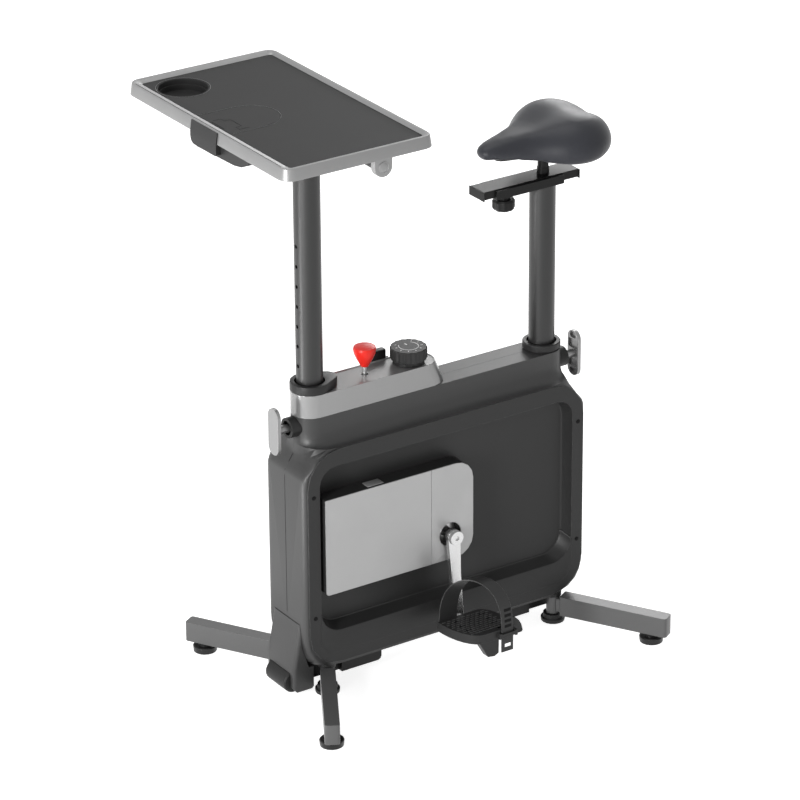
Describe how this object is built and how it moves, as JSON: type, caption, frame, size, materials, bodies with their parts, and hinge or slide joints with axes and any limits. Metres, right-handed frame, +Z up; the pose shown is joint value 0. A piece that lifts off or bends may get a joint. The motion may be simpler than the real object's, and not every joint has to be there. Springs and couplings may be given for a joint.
{
  "type": "desk exercise bike",
  "caption": "Foldable exercise bike with a tilting laptop desk, sliding saddle, strap pedals, control console and four swing-out legs on a moulded housing.",
  "frame": {"origin": "on the floor, midway between the two posts, in the bike's centre plane", "axes": "+Z up, +X towards the saddle, -X towards the desk, -Y the side with the lowered pedal"},
  "size_m": [0.8656, 0.54, 1.165],
  "materials": {
    "housing_black": "moulded black plastic, satin",
    "cover_black": "moulded black plastic, fine texture",
    "plate_silver": "silver painted plastic, satin",
    "console_silver": "silver painted plastic, satin",
    "trim_black": "black plastic, satin",
    "post_black": "black powder coat, satin",
    "steel": "plated steel",
    "aluminium": "polished aluminium",
    "brake_red": "red plastic, satin",
    "tray_silver": "silver painted plastic, satin",
    "inlay_grey": "dark grey plastic, fine texture",
    "pedal_black": "black plastic, moulded",
    "strap_black": "flexible black plastic",
    "saddle_slate": "dark slate synthetic leather",
    "leg_grey": "grey metallic paint",
    "foot_rubber": "black rubber"
  },
  "bodies": {
    "frame": {"housing_left": "housing_black", "housing_right": "housing_black", "side_cover_left": "cover_black", "side_cover_right": "cover_black", "drive_box_left": "trim_black", "drive_box_right": "trim_black", "side_plate_left": "plate_silver", "side_plate_right": "plate_silver", "crank_plate_left": "plate_silver", "crank_plate_right": "plate_silver", "console": "console_silver", "front_collar": "trim_black", "rear_collar": "trim_black", "front_sleeve": "trim_black", "rear_sleeve": "trim_black", "front_clamp_boss": "trim_black", "rear_clamp_boss": "trim_black", "side_clip": "trim_black", "bottom_bracket": "steel", "front_base_rail": "trim_black", "rear_base_rail": "trim_black", "front_left_hinge_foot": "foot_rubber", "front_right_hinge_foot": "foot_rubber", "rear_left_hinge_foot": "foot_rubber", "rear_right_hinge_foot": "foot_rubber", "front_fairing": "housing_black"},
    "crank": {"crank_axle": "steel", "crank_arm_left": "aluminium", "crank_arm_right": "aluminium"},
    "left_pedal": {"pedal_left": "pedal_black", "strap_left": "strap_black"},
    "right_pedal": {"pedal_right": "pedal_black", "strap_right": "strap_black"},
    "dial": {"resistance_dial": "trim_black"},
    "brake": {"brake_knob": "brake_red"},
    "front_clamp": {"front_clamp_handle": "steel"},
    "rear_clamp": {"rear_clamp_handle": "steel"},
    "desk_post": {"front_post": "post_black", "tilt_crossbar": "trim_black"},
    "desk": {"desk_tray": "tray_silver", "desk_inlay": "inlay_grey", "cup_holder": "inlay_grey", "dock_wrap": "trim_black", "dock_pocket": "trim_black", "tilt_lug_left": "tray_silver", "tilt_lug_right": "tray_silver"},
    "flap": {"desk_flap": "inlay_grey"},
    "saddle_post": {"rear_post": "post_black", "slide_channel": "trim_black"},
    "saddle": {"slide_bar": "trim_black", "saddle_stem": "steel", "saddle_base": "trim_black", "saddle_cushion": "saddle_slate"},
    "slide_lock": {"slide_lock_knob": "trim_black"},
    "front_left_leg": {"front_left_leg": "leg_grey"},
    "front_right_leg": {"front_right_leg": "leg_grey"},
    "rear_left_leg": {"rear_left_leg": "leg_grey"},
    "rear_right_leg": {"rear_right_leg": "leg_grey"},
    "roller": {"transport_roller": "foot_rubber"}
  },
  "joints": [
    {"name": "crank_turn", "type": "hinge", "parent": "frame", "child": "crank", "pos_m": [0, 0, 0.267], "axis": [0, 1, 0], "continuous": true},
    {"name": "left_pedal_turn", "type": "hinge", "parent": "crank", "child": "left_pedal", "pos_m": [0, -0.1145, 0.102], "axis": [0, 1, 0], "continuous": true},
    {"name": "right_pedal_turn", "type": "hinge", "parent": "crank", "child": "right_pedal", "pos_m": [0, 0.1145, 0.432], "axis": [0, 1, 0], "continuous": true},
    {"name": "dial_turn", "type": "hinge", "parent": "frame", "child": "dial", "pos_m": [-0.042, 0, 0.613], "axis": [0, 0, 1], "range_deg": [-135, 135]},
    {"name": "brake_press", "type": "slide", "parent": "frame", "child": "brake", "axis": [0, 0, 1], "range_m": [-0.01, 0], "stiffness_N_per_m": 400, "springref_m": 0.002},
    {"name": "front_clamp_turn", "type": "hinge", "parent": "frame", "child": "front_clamp", "pos_m": [-0.3325, 0, 0.5385], "axis": [-1, 0, 0], "range_deg": [0, 270]},
    {"name": "rear_clamp_turn", "type": "hinge", "parent": "frame", "child": "rear_clamp", "pos_m": [0.3325, 0, 0.529], "axis": [1, 0, 0], "range_deg": [0, 270]},
    {"name": "desk_height", "type": "slide", "parent": "frame", "child": "desk_post", "axis": [0, 0, 1], "range_m": [-0.24, 0]},
    {"name": "desk_tilt", "type": "hinge", "parent": "desk_post", "child": "desk", "pos_m": [-0.257, 0, 1.119], "axis": [0, 1, 0], "range_deg": [0, 45]},
    {"name": "flap_lift", "type": "hinge", "parent": "desk", "child": "flap", "pos_m": [-0.4475, 0, 1.1603], "axis": [0, -1, 0], "range_deg": [0, 80]},
    {"name": "saddle_height", "type": "slide", "parent": "frame", "child": "saddle_post", "axis": [0, 0, 1], "range_m": [-0.2, 0]},
    {"name": "saddle_reach", "type": "slide", "parent": "saddle_post", "child": "saddle", "axis": [1, 0, 0], "range_m": [-0.035, 0.025]},
    {"name": "slide_lock_turn", "type": "hinge", "parent": "saddle_post", "child": "slide_lock", "pos_m": [0.1706, 0, 0.882], "axis": [0, 0, 1], "range_deg": [0, 270]},
    {"name": "front_left_leg_fold", "type": "hinge", "parent": "frame", "child": "front_left_leg", "pos_m": [-0.259, -0.046, 0.018], "axis": [0, 0, 1], "range_deg": [0, 120.5]},
    {"name": "front_right_leg_fold", "type": "hinge", "parent": "frame", "child": "front_right_leg", "pos_m": [-0.259, 0.046, 0.018], "axis": [0, 0, -1], "range_deg": [0, 120.5]},
    {"name": "rear_left_leg_fold", "type": "hinge", "parent": "frame", "child": "rear_left_leg", "pos_m": [0.259, -0.046, 0.018], "axis": [0, 0, -1], "range_deg": [0, 120.5]},
    {"name": "rear_right_leg_fold", "type": "hinge", "parent": "frame", "child": "rear_right_leg", "pos_m": [0.259, 0.046, 0.018], "axis": [0, 0, 1], "range_deg": [0, 120.5]},
    {"name": "roller_turn", "type": "hinge", "parent": "frame", "child": "roller", "pos_m": [-0.3245, 0, 0.033], "axis": [0, 1, 0], "continuous": true}
  ]
}
